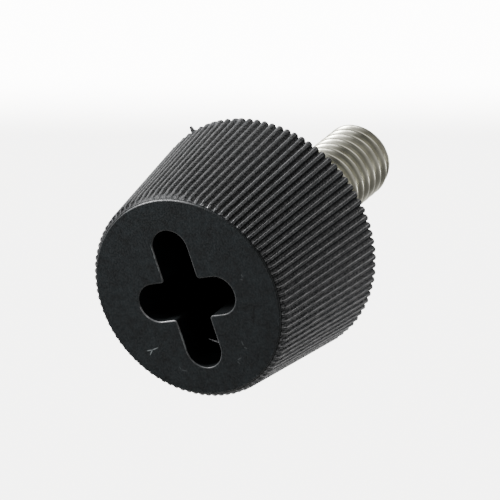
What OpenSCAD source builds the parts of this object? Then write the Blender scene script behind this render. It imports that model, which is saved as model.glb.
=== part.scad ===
// Thumb screw: a moulded knob with fine ribs and a deep cross recess,
// cast round the hexagon head of a threaded steel stud.
// It stands on its small end: z = 0 is the small face, and the stud points up.

/* [Knob] */
// Height of the knob, from the small face to the large end
knob_h = 12; // [10.5:0.1:16]
// Diameter over the rib crests at the large end
large_d = 19.5; // [17:0.1:24]
// Diameter over the rib crests at the small end
small_d = 16.45; // [14:0.05:18]
// Height of the plain edge, from the small face to where the ribs start
edge_h = 0.1; // [0.05:0.05:1]
// Number of ribs round the knob
rib_count = 88; // [60:1:100]
// Height of the ribs over their valleys at the large end
rib_depth_large = 0.36; // [0.1:0.02:0.5]
// Height of the ribs over their valleys at the small end
rib_depth_small = 0.34; // [0.1:0.02:0.5]
// Length of the sloping nose with which each rib starts
rib_nose = 0.5; // [0.1:0.05:1]
// Share of each rib's width that its flat top takes; the rest falls away to the narrow valleys
rib_top = 0.7; // [0.4:0.05:0.85]
// Turn of the first rib's crest from the short slot of the recess, in degrees
rib_turn = -1.4; // [-2:0.1:2]

/* [Cross recess] */
// Width of both slots of the cross
slot_w = 3.05; // [2:0.05:3.5]
// Length of the long slot, over its round ends
long_slot = 11.2; // [8:0.1:12.5]
// Length of the short slot, over its round ends
short_slot = 8.6; // [6:0.1:10]
// Radius of the four inner corners of the cross
corner_r = 0.25; // [0.1:0.05:0.6]
// Plastic left between the floor of the recess and the stud's head
floor_web = 1.2; // [0.8:0.1:2]

/* [Stud] */
// Diameter of the stud over its thread
stud_d = 6; // [4:0.1:8]
// Length of the stud, from the large end of the knob to its tip
stud_len = 16.5; // [8:0.5:40]
// Bevel round the stud's tip
tip_bevel = 0.6; // [0.2:0.1:1]
// Diameter of the plain neck, which the plastic shoulder grips
neck_d = 5.35; // [3:0.05:7]
// Width of the stud's hexagon head, across its flats
head_af = 10; // [9:0.1:13]
// Height of the hexagon head
head_h = 4; // [2.5:0.1:4.5]
// Plastic shoulder between the head and the large end
shoulder = 1.3; // [1:0.1:2]
// Width of the shallow relief in the large end, beyond the thread all round
relief_gap = 0.4; // [0.2:0.1:1]
// Depth of that relief, in which the thread runs out
relief_h = 0.3; // [0.1:0.1:0.6]

/* [Hidden] */

crown = 0.1; // how far a rib's top falls from its crest to its shoulders, as a share of its height
nose_steps = 2;
cut = 1; // how far a cut, or a solid that is trimmed flat, runs past the face

head_top = knob_h - shoulder;
head_z = head_top - head_h;
recess_depth = head_z - floor_web;
core_r = small_d / 2 - rib_depth_small;
rib_start = edge_h + rib_nose;
tip_z = knob_h + stud_len;

// Section of one rib: a valley, a shoulder, the crest and the other shoulder. Each corner has its place
// across the rib, from -1 to 1, and its height over the valleys as a share of the rib's.
rib_section = [[-1, 0], [-rib_top, 1 - crown], [0, 1], [rib_top, 1 - crown]];

// One closed ring of the ribbed side
function rib_ring(z, crest, depth) = [
    for (rib = [0 : rib_count - 1], corner = rib_section)
        let (angle = 360 * (rib + corner[0] / 2) / rib_count + rib_turn,
             r = crest - depth * (1 - corner[1]))
            [r * cos(angle), r * sin(angle), z]
];

// Rings of the sloping noses, in which the ribs rise above the plain edge and round off to full height
function nose_rings() = [
    for (k = [0 : nose_steps])
        let (share = k / nose_steps, rise = rib_depth_small * sin(90 * share))
            rib_ring(edge_h + rib_nose * share, core_r + rise, rise)
];

// Ring of the full ribs at one height, on the straight taper from the small end to the large one
function side_ring(z) =
    let (share = (z - rib_start) / (knob_h - rib_start),
         crest = small_d / 2 + share * (large_d - small_d) / 2,
         depth = rib_depth_small + share * (rib_depth_large - rib_depth_small))
        rib_ring(z, crest, depth);

// A solid lofted through rings that all have the same number of points
module loft(rings) {
    n = len(rings[0]);
    last = len(rings) - 1;
    polyhedron(
        points = [for (ring = rings) each ring],
        faces = concat(
            [[for (i = [0 : n - 1]) i]],
            [for (k = [0 : last - 1], i = [0 : n - 1])
                let (j = (i + 1) % n, a = k * n, b = (k + 1) * n)
                    each [[a + i, b + i, a + j], [a + j, b + i, b + j]]],
            [[for (i = [n - 1 : -1 : 0]) last * n + i]]
        ),
        convexity = 4
    );
}

// Outline of one slot with full round ends, along X
module slot(length) {
    for (side = [-1, 1])
        translate([side * (length - slot_w) / 2, 0])
            circle(d = slot_w, $fn = 48);
    square([length - slot_w, slot_w], center = true);
}

// Outline of the cross recess, with a fillet in each inner corner
module cross() {
    slot(short_slot);
    rotate(90) slot(long_slot);
    for (quarter = [0 : 3])
        rotate(90 * quarter)
            translate([slot_w / 2 - corner_r, slot_w / 2 - corner_r])
                difference() {
                    square(2 * corner_r);
                    translate([2 * corner_r, 2 * corner_r]) circle(r = corner_r, $fn = 32);
                }
}

// The stud's hexagon head and neck, which the knob is cast round
module anchor() {
    translate([0, 0, head_z])
        cylinder(d = head_af / cos(30), h = head_h, $fn = 6);
    translate([0, 0, head_top])
        cylinder(d = neck_d, h = shoulder, $fn = 64);
}

module knob() {
    color([0.16, 0.165, 0.17])
        difference() {
            intersection() {
                loft(concat([rib_ring(-cut, core_r, 0)], nose_rings(), [side_ring(knob_h + cut)]));
                cylinder(d = 2 * large_d, h = knob_h);
            }
            translate([0, 0, -cut]) linear_extrude(cut + recess_depth) cross();
            translate([0, 0, knob_h - relief_h])
                cylinder(d = stud_d + 2 * relief_gap, h = relief_h + cut, $fn = 64);
            anchor();
        }
}

module stud() {
    color([0.6, 0.6, 0.57])
        union() {
            anchor();
            translate([0, 0, knob_h])
                cylinder(d = stud_d, h = stud_len - tip_bevel, $fn = 96);
            translate([0, 0, tip_z - tip_bevel])
                cylinder(d1 = stud_d, d2 = stud_d - 2 * tip_bevel, h = tip_bevel, $fn = 96);
        }
}

knob();
stud();
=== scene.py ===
import bmesh
import bpy
import numpy as np
from mathutils import Matrix


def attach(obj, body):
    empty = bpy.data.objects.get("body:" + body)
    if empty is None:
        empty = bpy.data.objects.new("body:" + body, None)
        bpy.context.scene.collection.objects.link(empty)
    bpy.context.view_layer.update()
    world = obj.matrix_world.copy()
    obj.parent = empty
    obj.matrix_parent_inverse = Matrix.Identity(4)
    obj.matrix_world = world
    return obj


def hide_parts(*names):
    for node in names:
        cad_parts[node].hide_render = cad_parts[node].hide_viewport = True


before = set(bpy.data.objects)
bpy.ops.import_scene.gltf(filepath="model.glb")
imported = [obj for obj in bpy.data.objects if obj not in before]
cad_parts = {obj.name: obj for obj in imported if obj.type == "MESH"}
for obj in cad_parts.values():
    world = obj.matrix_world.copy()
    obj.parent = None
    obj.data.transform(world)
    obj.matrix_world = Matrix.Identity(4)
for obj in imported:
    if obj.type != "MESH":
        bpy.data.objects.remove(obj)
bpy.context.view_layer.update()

# ---------------------------------------------------------------------------------------------
# The knob.
# One moulding in black glass-filled plastic, shot round the head of the screw. Flat-topped ribs
# run up its tapered side, and a deep cross-shaped recess is cored out of its small face.
# ---------------------------------------------------------------------------------------------
MM = 0.001
KNOB_H = 12.0                       # from the small face to the large end
SMALL_R, LARGE_R = 8.26, 9.79       # over the tops of the ribs
RIBS = 92
RIB_TURN = np.radians(1.47)         # of the first rib from the short slot
RIB_SMALL, RIB_LARGE = 0.3, 0.34    # height of the ribs at either end
UNEVEN = 0.08                       # share of that height by which ribs differ
CORE_SMALL, CORE_LARGE = SMALL_R - RIB_SMALL, LARGE_R - RIB_LARGE
BARE, NOSE = 0.1, 0.5               # height of the plain edge, and of the sloping nose that starts each rib
FACE_R, EDGE_R = 7.81, 0.1          # the flat small face and the rounding round it
SLOT_W, LONG_SLOT, SHORT_SLOT = 3.05, 11.2, 8.6
RECESS_DEPTH, DRAFT = 5.5, 0.05     # the recess narrows by the draft on its way to its floor
CORNER_R, LIP_R, FLOOR_R = 0.25, 0.07, 0.3
OFF_CENTRE = np.array([-0.1, 0.13, 0.0])     # the core pin stood this far off the knob's axis
RIM_R = 0.07                        # rounding of the large end
RELIEF_R, RELIEF_H = 3.4, 0.3       # shallow relief in the large end, round the screw
NECK_R, HEAD_Z, HEAD_TOP, HEAD_AF = 2.675, 6.7, 10.7, 10.0    # room for the screw's neck and hexagon head
SEAM = 0.02                         # keeps rings apart at a sharp corner

STEPS = 16                          # columns of points to each rib
COLUMNS = RIBS * STEPS
column = np.arange(COLUMNS)
nearest_rib = np.round(column / STEPS).astype(int)
step = column - STEPS * nearest_rib          # -8 to 8 across a rib
half_step = np.abs(step)
TURN = 2 * np.pi * column / COLUMNS          # even angles, with the middle of a rib at 0
# Half a rib's section, from the middle of its top to the valley: how far across, and how high at either end.
ACROSS = np.array([0, 0.1, 0.2, 0.28, 0.34, 0.38, 0.44, 0.6, 1.0])[half_step]
HIGH_SMALL = np.array([1, 0.995, 0.98, 0.95, 0.89, 0.78, 0.35, 0.04, 0.0])[half_step]
HIGH_LARGE = np.array([1, 0.99, 0.97, 0.94, 0.91, 0.88, 0.84, 0.8, 0.1])[half_step]
LEAN = (np.sign(step) * ACROSS - step * 2 / STEPS) * np.pi / RIBS      # from an even angle to the section's
chance = np.random.default_rng(11)
RIB_HEIGHT = (1 - UNEVEN * chance.random(RIBS))[nearest_rib % RIBS]


def ring(radius, height, spread=0.0):
    """One ring of points round the axis. spread 1 turns the columns to the ribs and crowds them on to
    the shoulders of their section, and spread 0 leaves them even."""
    turn = TURN + spread * (LEAN + RIB_TURN)
    return np.stack([radius * np.cos(turn), radius * np.sin(turn), height + 0 * turn], axis=1)


def quarter(steps):
    """Sine and cosine along a quarter round, both ends included."""
    a = np.linspace(0, np.pi / 2, steps + 1)
    return list(zip(np.sin(a), np.cos(a)))


def slot_wall(turn, length, half_width):
    """Distance from the axis to the wall of a slot along X, in each direction: half_width over the sine
    where the ray meets the straight wall, and past it the ray's way to the round end."""
    c, s = np.abs(np.cos(turn)), np.abs(np.sin(turn)) + 1e-9
    centre = (length - SLOT_W) / 2
    straight = half_width / s
    end = centre * c + np.sqrt(np.maximum(half_width ** 2 - (centre * s) ** 2, 0))
    return np.where(straight * c <= centre, straight, end)


def cross_wall(grow=0.0):
    """Distance from the axis to the wall of the cross recess: the further of its two slots, and in each
    inner corner the near side of the fillet circle. grow moves the wall into the plastic."""
    half = SLOT_W / 2 + grow
    wall = np.maximum(slot_wall(TURN, SHORT_SLOT, half), slot_wall(TURN + np.pi / 2, LONG_SLOT, half))
    k = SLOT_W / 2 + CORNER_R
    c, s = np.abs(np.cos(TURN)), np.abs(np.sin(TURN))
    reach = k * (c + s)
    fillet = reach - np.sqrt(np.maximum(reach ** 2 - 2 * k ** 2 + (CORNER_R - grow) ** 2, 0))
    inner = np.abs(np.arctan2(s, c) - np.pi / 4) < np.arctan2(k, half) - np.pi / 4
    return np.where(inner, fillet, wall)


def hexagon(turn, across_flats):
    """Distance from the axis to a hexagon with a corner at angle 0: half across_flats over the cosine of
    the angle from the nearest flat's middle."""
    return across_flats / 2 / np.cos((turn % (np.pi / 3)) - np.pi / 6)


def ramp(value, start, length):
    """0 up to start, rising evenly to 1 over length."""
    return np.clip((value - start) / length, 0, 1)


def window(turn_from, turn_to, soft):
    """1 between two angles in degrees, falling to 0 over soft degrees on either side."""
    d = (np.degrees(TURN + RIB_TURN) + 180) % 360 - 180
    return ramp(d, turn_from - soft, soft) * ramp(-d, -turn_to - soft, soft)


# Marks of the mould and of use, and where painted highlight and shade go, by where they are round the knob and
# by their heights.
FLASH = np.maximum(window(-101.6, -91.2, 0.6), window(-84.0, -81.0, 0.5))     # closes valleys at the large end
FLASH_Z, FLASH_RISE, FLASH_FILL, FLASH_TOP = 11.6, 0.15, 0.8, 0.97
GATE_STUB = window(-108.9, -108.2, 0.35)                                      # the gate was broken off here
STUB_Z, STUB_RISE, STUB_OUT = 11.55, 0.2, 0.42
SMEAR = window(-100.0, -78.0, 14.0)                                           # rib starts rubbed flat
SMEAR_Z, SMEAR_FADE, SMEAR_LEFT = 0.35, 0.9, 0.4
LIT_NOSES = window(-62.0, 95.0, 12.0)                                              # rib starts painted with highlight, on the lit side
SHADED_NOSES = window(-181.0, -112.0, 14.0) + window(120.0, 181.0, 14.0)             # rib starts painted with shade, on the unlit side
# The ribs widen slowly by one share of the change in section, and by the rest close to the large end.
WIDEN_Z, WIDEN_RISE, WIDEN_SHARE = 3.0, 7.5, 0.6
END_Z, END_RISE = 11.2, 0.5


def side(z):
    """The ribbed side at one height: the core's radius plus the height of the rib's section, both going
    evenly from one end to the other, then the marks."""
    up = z / KNOB_H
    core = CORE_SMALL * (1 - up) + CORE_LARGE * up
    height = RIB_SMALL * (1 - up) + RIB_LARGE * up
    widen = WIDEN_SHARE * ramp(z, WIDEN_Z, WIDEN_RISE) + (1 - WIDEN_SHARE) * ramp(z, END_Z, END_RISE)
    rise = height * (HIGH_SMALL + (HIGH_LARGE - HIGH_SMALL) * widen) * RIB_HEIGHT
    rise = rise + (SMEAR_LEFT * height - rise) * SMEAR * (1 - ramp(z, SMEAR_Z, SMEAR_FADE))
    rise = rise + (FLASH_TOP * height - rise) * FLASH * FLASH_FILL * ramp(z, FLASH_Z, FLASH_RISE)
    return core + rise + STUB_OUT * GATE_STUB * ramp(z, STUB_Z, STUB_RISE)


# The rings of the knob's skin in order: out over the recess's floor and down its wall, over its lip to the
# small face, up the side, in over the large end, and down round the neck and head of the screw. They lie
# close together where the skin turns.
wall_rings = [ring(cross_wall() * share, RECESS_DEPTH) + OFF_CENTRE for share in (0.35, 0.7)]
wall_rings += [ring(cross_wall() - DRAFT - FLOOR_R * (1 - s), RECESS_DEPTH - FLOOR_R * (1 - c)) + OFF_CENTRE
               for s, c in quarter(4)]
wall_rings += [ring(cross_wall() - DRAFT * (z / RECESS_DEPTH) ** 2, z) + OFF_CENTRE
               for z in (4.2, 2.0, 0.6, 0.3, LIP_R + 1.5 * SEAM)]
lip_rings = [ring(cross_wall(LIP_R * (1 - c)), LIP_R * (1 - s)) + OFF_CENTRE for s, c in quarter(5)]
lip = cross_wall(LIP_R)
face_rings = [ring(lip + (FACE_R - lip) * share, 0.0, share) + OFF_CENTRE * (1 - share)
              for share in (0.01, 0.5, 0.97, 0.998)]
edge_rings = [ring(FACE_R + EDGE_R * s, EDGE_R * (1 - c), 1.0) for s, c in quarter(3)]
nose_rings = [ring(CORE_SMALL + (side(BARE + NOSE) - CORE_SMALL) * np.sin(a), BARE + NOSE * a * 2 / np.pi, 1.0)
              for a in np.linspace(0, np.pi / 2, 9)]
side_rings = [ring(side(z), z, 1.0) for z in
              (0.7, 1.2, 2, 3, 6, 10, 10.6, 11, 11.3, 11.45, 11.55, 11.65, 11.75, 11.85)]
rim = side(KNOB_H)
rim_rings = [ring(rim - RIM_R * (1 - c), KNOB_H - RIM_R * (1 - s), 1.0) for s, c in quarter(4)]
inset = rim - RIM_R
relief_edge = RELIEF_R + 2 * SEAM
end_rings = [ring(inset + (relief_edge - inset) * share, KNOB_H, 1 - share) for share in (0.01, 0.5, 0.99, 1.0)]
end_rings += [ring(radius, z) for radius, z in (
    (RELIEF_R, KNOB_H - 2 * SEAM), (RELIEF_R, KNOB_H - RELIEF_H), (NECK_R + SEAM / 2, KNOB_H - RELIEF_H),
    (NECK_R, KNOB_H - RELIEF_H - SEAM), (NECK_R, HEAD_TOP),
    (hexagon(TURN, HEAD_AF), HEAD_TOP), (hexagon(TURN, HEAD_AF), HEAD_Z), (1.0, HEAD_Z))]


def closed_skin(name, rings, first, last):
    """A mesh over rings of points, closed at either end by a fan to a point on the axis, its faces outwards.
    The corner of column j on ring i is point i * columns + j."""
    rows, n = len(rings), len(rings[0])
    points = np.concatenate(rings + [np.array([first, last])]) * MM
    i, j = np.meshgrid(np.arange(rows - 1), np.arange(n), indexing="ij")
    k = (j + 1) % n
    quads = np.stack([i * n + k, (i + 1) * n + k, (i + 1) * n + j, i * n + j], axis=-1).reshape(-1, 4)
    j, k = np.arange(n), (np.arange(n) + 1) % n
    first_fan = np.stack([np.full(n, rows * n), k, j], axis=1)
    last_fan = np.stack([np.full(n, rows * n + 1), (rows - 1) * n + j, (rows - 1) * n + k], axis=1)
    mesh = bpy.data.meshes.new(name)
    mesh.from_pydata(points.tolist(), [], quads.tolist() + first_fan.tolist() + last_fan.tolist())
    mesh.shade_smooth()
    piece = bpy.data.objects.new(name, mesh)
    bpy.context.scene.collection.objects.link(piece)
    return piece


def blade(piece, root, tip, width, thick, z):
    """Adds a thin pointed blade to a piece's mesh, from root to tip, level at height z."""
    root, tip = np.array(root), np.array(tip)
    across = np.array([root[1] - tip[1], tip[0] - root[0]]) * width / 2 / np.linalg.norm(tip - root)
    corners = [root - across, root + across, tip]
    mesh = bmesh.new()
    mesh.from_mesh(piece.data)
    low, high = [[mesh.verts.new((x * MM, y * MM, h * MM)) for x, y in corners] for h in (z, z + thick)]
    mesh.faces.new(low)
    mesh.faces.new(high[::-1])
    for k in range(3):
        mesh.faces.new((low[k], high[k], high[(k + 1) % 3], low[(k + 1) % 3]))
    mesh.to_mesh(piece.data)
    mesh.free()


# Each band of the skin with how far it is painted bright as a highlight (1) or dark as shade (-1), which also
# sets how glossy it is, and how sandy it is.
# The recess's wall is painted with shade, the plain edge with some shade, and the lip with some highlight.
bands = {"wall": (wall_rings, -1.0, 0.0), "lip": (lip_rings, 0.3, 0.0), "face": (face_rings, 0.0, 0.1),
         "edge": (edge_rings, -0.4, 0.2), "side": (nose_rings + side_rings + rim_rings, 0.0, 1.0),
         "end": (end_rings, 0.0, 0.2)}
knob = closed_skin("ribbed_knob", [one for rings, _, _ in bands.values() for one in rings],
                   (OFF_CENTRE[0], OFF_CENTRE[1], RECESS_DEPTH), (0, 0, HEAD_Z))
# A sliver of flash lies across one arm of the recess.
blade(knob, root=(1.6, 4.12), tip=(0.46, 3.55), width=0.13, thick=0.04, z=0.3)
POLE_POINTS, BLADE_POINTS = 2, 6
BLADE_LEVEL = 0.8                   # it is painted with highlight and made sandy alike

# Across a rib, from valley to valley: painted highlight lines on its shoulders, and painted shade in the
# valleys, on the far flank and a little along the top. Both are weaker on the side away from the light, and the
# ribs at the top, where the light falls, are painted a little paler all over.
ACROSS_RIB = np.array([-0.8, 0, 0, 0.6, 1.6, 1.2, -0.2, -0.4, -0.4,
                       -0.4, -0.4, -0.2, 0.3, 0.2, -0.5, -1.2, -0.8])[step + STEPS // 2]
SHADED_SIDE_SHARE = 0.45
lit_side = SHADED_SIDE_SHARE + (1 - SHADED_SIDE_SHARE) * window(-40.0, 100.0, 25.0)
LIT_TOP = 0.06 * window(-125.0, -62.0, 15.0)
painted_light_and_gloss, grit = [{name: np.full((len(band[0]), COLUMNS), band[k]) for name, band in bands.items()}
                 for k in (1, 2)]
painted_light_and_gloss["side"] += ACROSS_RIB * lit_side + LIT_TOP
# The sloping noses keep little of that painted highlight away from the lit side, are painted darker and duller
# where smeared, and are painted with shade on the unlit side.
NOSE_ROWS, SHADED_NOSE_ROWS = 8, 10
OFF_LIGHT_SHARE, SMEAR_DULL, NOSE_SHADE = 0.2, 0.3, 0.5
painted_light_and_gloss["side"][:NOSE_ROWS] *= OFF_LIGHT_SHARE + (1 - OFF_LIGHT_SHARE) * LIT_NOSES
painted_light_and_gloss["side"][:NOSE_ROWS] -= SMEAR_DULL * SMEAR
painted_light_and_gloss["side"][:SHADED_NOSE_ROWS] -= NOSE_SHADE * SHADED_NOSES
# Parts of the plain edge and of the recess's lip are painted as bright highlight lines.
BRIGHT_LINE = 0.9
painted_light_and_gloss["edge"] += BRIGHT_LINE * window(-104.0, -70.0, 12.0)
painted_light_and_gloss["lip"] += BRIGHT_LINE * (window(110.0, 179.0, 6.0) + window(-131.0, -110.0, 6.0))
for name, band_values in (("painted_light_and_gloss", painted_light_and_gloss), ("grit", grit)):
    value = np.concatenate([part.ravel() for part in band_values.values()]
                           + [np.zeros(POLE_POINTS), np.full(BLADE_POINTS, BLADE_LEVEL)])
    knob.data.attributes.new(name, "FLOAT", "POINT").data.foreach_set("value", value.astype(np.float32))


def colour(code):
    """A hex colour code as linear red, green, blue, alpha: the usual screen curve undone."""
    part = np.array([int(code[k:k + 2], 16) for k in (1, 3, 5)]) / 255
    linear = np.where(part <= 0.04045, part / 12.92, ((part + 0.055) / 1.055) ** 2.4)
    return (*linear.tolist(), 1.0)


def add(tree, kind, gives, takes=(), **settings):
    """Adds a node with its settings. takes are its (socket, value or other node's output) pairs, and the
    output called gives is returned."""
    node = tree.nodes.new(kind)
    for key, value in settings.items():
        setattr(node, key, value)
    for socket, value in takes:
        if isinstance(value, bpy.types.NodeSocket):
            tree.links.new(value, node.inputs[socket])
        else:
            node.inputs[socket].default_value = value
    return node.outputs[gives] if gives else None


def new_material(name):
    """An empty material and its node tree."""
    material = bpy.data.materials.new(name)
    material.use_nodes = True
    material.node_tree.nodes.clear()
    return material, material.node_tree


def black_moulded_plastic():
    """Black glass-filled plastic, satin. The flow leaves a faint grey mottle, and the spark-eroded cavity a
    sandy grain on the ribs.
    Highlights are painted on as pale lines on the sharp edges, which are also glossier, and shade is painted on
    as near-black in the valleys and the recess. The grain is drawn at 0.14 mm, about twice its real size, so
    that it shows."""
    material, tree = new_material("black moulded plastic")
    place = add(tree, "ShaderNodeTexCoord", "Object")
    grit = add(tree, "ShaderNodeAttribute", "Fac", attribute_name="grit")
    # The painted light: above 0 it paints a highlight and makes the skin glossier, below 0 it paints shade and
    # makes it duller.
    painted_light_and_gloss = add(tree, "ShaderNodeAttribute", "Fac", attribute_name="painted_light_and_gloss")

    # Soft noises, each with the size of its features in mm, its detail and its roughness.
    noise = {}
    for name, size, detail, rough in (
            ("sand", 0.14, 1.0, 0.5), ("flow", 2.2, 5.0, 0.7), ("cloud", 0.5, 3.0, 0.5),
            ("lip highlight breakup", 0.3, 2.0, 0.5), ("highlight breakup", 0.9, 2.0, 0.5), ("polish", 0.6, 2.0, 0.5)):
        noise[name] = add(tree, "ShaderNodeTexNoise", "Fac", [
            ("Vector", place), ("Scale", 1 / (size * MM)), ("Detail", detail), ("Roughness", rough)])
    noise["mottle"] = add(tree, "ShaderNodeMath", "Value", [(0, noise["flow"]), (1, noise["cloud"])],
                          operation="ADD")

    def strokes(width, places):
        """1 inside thin ovals on the small face, 0 outside: scratches, and lines of painted highlight. Each is
        centred at x, y and turned along
        degrees: the share falls with the distance from its centre, counted in half lengths and half widths."""
        DEPTH = 0.15                # they reach this far up into the plastic
        marks = 0.0
        for x, y, along, length in places:
            spot = add(tree, "ShaderNodeMapping", "Vector",
                       [("Vector", place), ("Location", (x * MM, y * MM, 0)),
                        ("Rotation", (0, 0, np.radians(along))),
                        ("Scale", (length * MM / 2, width * MM / 2, DEPTH * MM))], vector_type="TEXTURE")
            far = add(tree, "ShaderNodeVectorMath", "Value", [(0, spot)], operation="LENGTH")
            mark = add(tree, "ShaderNodeMapRange", "Result", [
                ("Value", far), ("From Min", 0.6), ("From Max", 1.1), ("To Min", 1.0), ("To Max", 0.0)])
            marks = add(tree, "ShaderNodeMath", "Value", [(0, marks), (1, mark)], operation="MAXIMUM")
        return marks

    forked_nick = strokes(0.09, ((-4.90, 3.81, -3, 0.56), (-4.83, 4.00, -46, 0.6), (-4.38, 3.74, -14, 0.72)))
    # Two lines of painted highlight along the left edges of the recess's lip.
    painted_lip_highlight = strokes(0.12, ((-1.68, -3.2, 90, 2.6), (-1.65, 3.2, 90, 2.4)))
    scar = strokes(0.12, ((5.3, 1.95, 112, 2.0),))
    flecks = strokes(0.12, ((5.4, -1.2, 70, 0.3), (5.25, -0.9, 20, 0.25), (3.5, 4.1, 80, 0.45),
                            (3.65, 4.5, 30, 0.3), (2.8, 5.3, -20, 0.5), (2.6, 5.6, 60, 0.3),
                            (-2.4, 5.75, 15, 0.6), (-2.7, 5.5, 75, 0.3)))

    # Shares of the finish: a pattern moved from the range low to high into first to last, and clipped.
    share = {}
    for name, pattern, low, high, first, last in (
            ("mottle", noise["mottle"], 0.75, 1.25, 0.0, 1.0),
            ("pale grains", noise["sand"], 0.46, 0.58, 0.0, 1.0),
            ("dark grains", noise["sand"], 0.34, 0.47, 0.5, 0.0),
            ("painted highlight", noise["highlight breakup"], 0.4, 0.6, 0.35, 0.85),
            ("painted lip highlight", noise["lip highlight breakup"], 0.42, 0.58, 0.0, 0.9),
            ("satin", noise["sand"], 0.3, 0.7, 0.42, 0.6),
            ("polish", noise["polish"], 0.4, 0.6, 0.1, 0.28),
            ("relief", grit, 0.0, 1.0, 0.05, 1.0),
            ("gloss", painted_light_and_gloss, -1.0, 0.0, 0.1, 0.5)):
        share[name] = add(tree, "ShaderNodeMapRange", "Result", [
            ("Value", pattern), ("From Min", low), ("From Max", high), ("To Min", first), ("To Max", last)])
    share["painted shade"] = -0.8             # painted shade, where the painted light value is below 0
    for name, where in (
            ("pale grains", grit), ("dark grains", grit), ("painted highlight", painted_light_and_gloss), ("painted shade", painted_light_and_gloss),
            ("polish", painted_light_and_gloss), ("painted lip highlight", painted_lip_highlight), ("relief", noise["sand"])):
        share[name] = add(tree, "ShaderNodeMath", "Value", [(0, share[name]), (1, where)], operation="MULTIPLY")

    # The plastic's own colour, then each colour that covers its share of it, among them a pale painted
    # highlight and a near-black painted shade.
    tone = colour("#0e1214")
    for cover, code in (
            (share["mottle"], "#21282b"), (share["pale grains"], "#4c4c4e"), (share["dark grains"], "#070808"),
            (share["painted highlight"], "#8c8c8e"), (share["painted shade"], "#060708"), (forked_nick, "#8e9496"),
            (share["painted lip highlight"], "#8e9496"), (flecks, "#474b4d"), (scar, "#0b0d0e")):
        tone = add(tree, "ShaderNodeMix", "Result", [("Factor", cover), ("A", tone), ("B", colour(code))],
                   data_type="RGBA")
    shine = add(tree, "ShaderNodeMath", "Value", [(0, share["satin"]), (1, share["polish"])],
                operation="SUBTRACT")
    bump = add(tree, "ShaderNodeBump", "Normal", [
        ("Height", share["relief"]), ("Strength", 1.0), ("Distance", 0.1 * MM)])
    skin = add(tree, "ShaderNodeBsdfPrincipled", "BSDF", [
        ("Base Color", tone), ("Roughness", shine), ("Specular IOR Level", share["gloss"]), ("Normal", bump)])
    add(tree, "ShaderNodeOutputMaterial", None, [("Surface", skin)])
    return material


knob.data.materials.append(black_moulded_plastic())
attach(knob, "root")
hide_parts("knob")

# ---------------------------------------------------------------------------------------------
# The screw.
# A standard steel hexagon-head screw, cold-headed, its 1 mm thread rolled on and then zinc
# plated. Its head and plain neck are held in the plastic; the end has a 45 degree bevel.
# ---------------------------------------------------------------------------------------------
THREAD_R, PITCH, TIP_Z, BEVEL = 3.0, 1.0, 28.5, 0.6
THREAD_DEPTH = 0.6134 * PITCH
THREAD_Z, RUN_OUT = 11.75, 0.3    # where the thread starts, and the length over which it grows from the neck
CREST_Z = 12.17                   # a crest passes this height at angle 0
NECK_RING_Z = 11.3                # a ring part of the way up the neck
TIP_DISH = 0.03                   # the middle of the end lies this much lower than its edge
SPOKES = 120                      # columns of points round the screw
spoke = 2 * np.pi * np.arange(SPOKES) / SPOKES


def thread_radius(z):
    """Radius of the right-hand thread at every angle, one row for each height: the crest's radius less a
    cosine wave one pitch long, grown from the neck at its start and cut off by the bevel's cone."""
    along = (z[:, None] - CREST_Z) / PITCH - spoke[None, :] / (2 * np.pi)
    drop = THREAD_DEPTH * (0.5 - 0.5 * np.cos(2 * np.pi * along))
    r = NECK_R + (THREAD_R - drop - NECK_R) * ramp(z, THREAD_Z, RUN_OUT)[:, None]
    return np.minimum(r, THREAD_R - np.clip(z[:, None] - (TIP_Z - BEVEL), 0, None))


def round_ring(radius, z):
    """One ring of the screw's points."""
    return np.stack([radius * np.cos(spoke), radius * np.sin(spoke), z + 0 * spoke], axis=1)


flats = hexagon(spoke, HEAD_AF)
heights = np.arange(THREAD_Z, TIP_Z + 0.001, PITCH / 20)
radii = thread_radius(heights)
screw_rings = [round_ring(radius, z) for radius, z in (
    (flats * 0.3, HEAD_Z), (flats, HEAD_Z), (flats, HEAD_TOP), (NECK_R, HEAD_TOP),
    (NECK_R, NECK_RING_Z))]
screw_rings += [round_ring(radius, z) for radius, z in zip(radii, heights)]
screw_rings += [round_ring(np.minimum(radii[-1], THREAD_R - BEVEL) * share, TIP_Z - TIP_DISH * (1 - share))
                for share in (0.96, 0.7, 0.3)]
screw = closed_skin("threaded_screw", screw_rings, (0, 0, HEAD_Z), (0, 0, TIP_Z - TIP_DISH))


def bright_zinc():
    """Bright zinc plating on rolled steel: pale warm grey metal, with soft patches 1.2 mm across where the
    plating is duller and darker."""
    material, tree = new_material("bright zinc plating")
    place = add(tree, "ShaderNodeTexCoord", "Object")
    patch = add(tree, "ShaderNodeTexNoise", "Fac", [
        ("Vector", place), ("Scale", 1 / (1.2 * MM)), ("Detail", 4.0)])
    tone = add(tree, "ShaderNodeMix", "Result", [
        ("Factor", patch), ("A", colour("#a5a497")), ("B", colour("#d2d0c2"))], data_type="RGBA")
    shine = add(tree, "ShaderNodeMapRange", "Result", [("Value", patch), ("To Min", 0.22), ("To Max", 0.38)])
    skin = add(tree, "ShaderNodeBsdfPrincipled", "BSDF", [
        ("Base Color", tone), ("Metallic", 1.0), ("Roughness", shine)])
    add(tree, "ShaderNodeOutputMaterial", None, [("Surface", skin)])
    return material


screw.data.materials.append(bright_zinc())
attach(screw, "root")
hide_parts("stud")

# ---------------------------------------------------------------------------------------------
# The studio.
# A pale table, a white light tent that is brightest behind and above the knob, three small soft
# lamps, and a long lens that looks up at the small face from under the table's top.
# ---------------------------------------------------------------------------------------------
RIGHT = np.array([0.82596, 0.30101, 0.47664])      # the camera's own directions
UP = np.array([0.10870, -0.91468, 0.38928])
BACK = np.array([0.55315, -0.26972, -0.78821])
CAMERA_PLACE = np.array([166.911, -81.170, -228.128]) * MM


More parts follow.
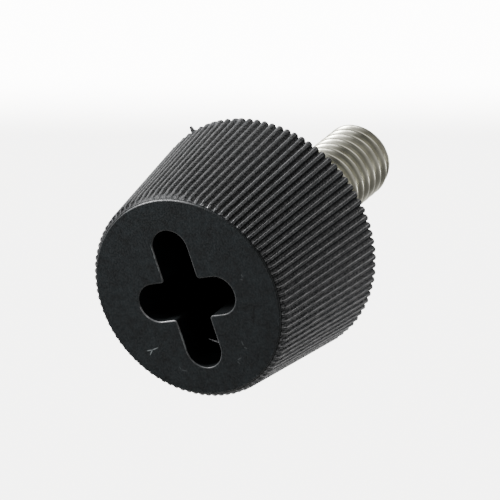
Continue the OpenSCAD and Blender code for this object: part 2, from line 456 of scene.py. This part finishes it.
def stand(thing, right, up, back, place):
    """Puts a camera or lamp at a place, with its own three directions as given, and into the scene."""
    rows = np.eye(4)
    rows[:3, 0], rows[:3, 1], rows[:3, 2], rows[:3, 3] = right, up, back, place
    thing.matrix_world = Matrix(rows.tolist())
    bpy.context.scene.collection.objects.link(thing)


lens = bpy.data.cameras.new("camera")
lens.lens, lens.sensor_width = 283.23, 36.0
lens.clip_start, lens.clip_end = 0.01, 10.0
camera = bpy.data.objects.new("camera", lens)
stand(camera, RIGHT, UP, BACK, CAMERA_PLACE)
bpy.context.scene.camera = camera

TABLE_HALF, TABLE_Z = 1.5, -0.00005                # in metres; the top lies just under the knob
table_mesh = bpy.data.meshes.new("table_top")
table_corners = [(x * TABLE_HALF, y * TABLE_HALF, TABLE_Z) for x, y in ((-1, -1), (1, -1), (1, 1), (-1, 1))]
table_mesh.from_pydata(table_corners, [], [(0, 1, 2, 3)])
table = bpy.data.objects.new("table_top", table_mesh)
bpy.context.scene.collection.objects.link(table)
# Pale laminate, matt, seen only from above: from below it is clear and neither shades nor lights the knob.
pale, tree = new_material("pale table top")
white = add(tree, "ShaderNodeBsdfDiffuse", "BSDF", [("Color", colour("#eceae6"))])
clear = add(tree, "ShaderNodeBsdfTransparent", "BSDF")
under = add(tree, "ShaderNodeNewGeometry", "Backfacing")
both = add(tree, "ShaderNodeMixShader", "Shader", [(0, under), (1, white), (2, clear)])
add(tree, "ShaderNodeOutputMaterial", None, [("Surface", both)])
table.data.materials.append(pale)
table.visible_diffuse = table.visible_glossy = table.visible_transmission = table.visible_shadow = False

world = bpy.data.worlds.new("light tent")
bpy.context.scene.world = world
world.use_nodes = True
tree = world.node_tree
tree.nodes.clear()
way = add(tree, "ShaderNodeTexCoord", "Generated")


def towards(direction, low, high, dark, bright):
    """The tent's brightness, which goes smoothly from dark to bright as the cosine of the angle to the given
    direction goes from low to high."""
    unit = direction / np.linalg.norm(direction)
    cosine = add(tree, "ShaderNodeVectorMath", "Value", [(0, way), (1, tuple(unit))], operation="DOT_PRODUCT")
    return add(tree, "ShaderNodeMapRange", "Result", [
        ("Value", cosine), ("From Min", low), ("From Max", high), ("To Min", dark), ("To Max", bright)],
        interpolation_type="SMOOTHSTEP")


glow = 0.0
for direction, low, bright in (
        (-BACK, 0.3, 0.56), (-BACK - 0.8 * UP, 0.4, 1.6), (-BACK - RIGHT + 0.5 * UP, 0.4, 2.1),
        (0.45 * RIGHT + 0.87 * UP - 0.16 * BACK, 0.7, 2.3), (BACK + RIGHT, 0.4, 0.6),
        (0.15 * RIGHT - 0.85 * UP + 0.5 * BACK, 0.55, 0.15)):
    glow = add(tree, "ShaderNodeMath", "Value", [(0, glow), (1, towards(direction, low, 1.0, 0.0, bright))],
               operation="ADD")
# The backdrop that the camera sees is white, a little brighter towards the top.
seen = add(tree, "ShaderNodeLightPath", "Is Camera Ray")
backdrop = towards(UP, 0.028, 0.045, 6.2, 14.0)
level = add(tree, "ShaderNodeMix", "Result", [("Factor", seen), ("A", glow), ("B", backdrop)],
            data_type="FLOAT")
sky = add(tree, "ShaderNodeBackground", "Background", [("Color", colour("#fbfaf8")), ("Strength", level)])
add(tree, "ShaderNodeOutputWorld", None, [("Surface", sky)])

# Square soft lamps that face the knob's middle: direction, distance and size in metres, and watts.
KNOB_MIDDLE = np.array([0, 0, 0.008])
for name, direction, distance, size, watts in (
        ("left_lamp", -0.82 * RIGHT + 0.56 * UP + 0.12 * BACK, 0.1, 0.02, 0.2),
        ("upper_left_lamp", -0.6 * RIGHT + 0.6 * UP + 0.5 * BACK, 0.1, 0.02, 0.02),
        ("right_lamp", 0.9 * RIGHT - 0.3 * UP + 0.1 * BACK, 0.35, 0.1, 0.4)):
    light = bpy.data.lights.new(name, "AREA")
    light.shape, light.size, light.energy = "SQUARE", size, watts
    lamp = bpy.data.objects.new(name, light)
    lamp.visible_camera = False
    back = direction / np.linalg.norm(direction)
    right = np.cross([0.0, 0.0, 1.0], back)
    right /= np.linalg.norm(right)
    stand(lamp, right, np.cross(back, right), back, KNOB_MIDDLE + back * distance)
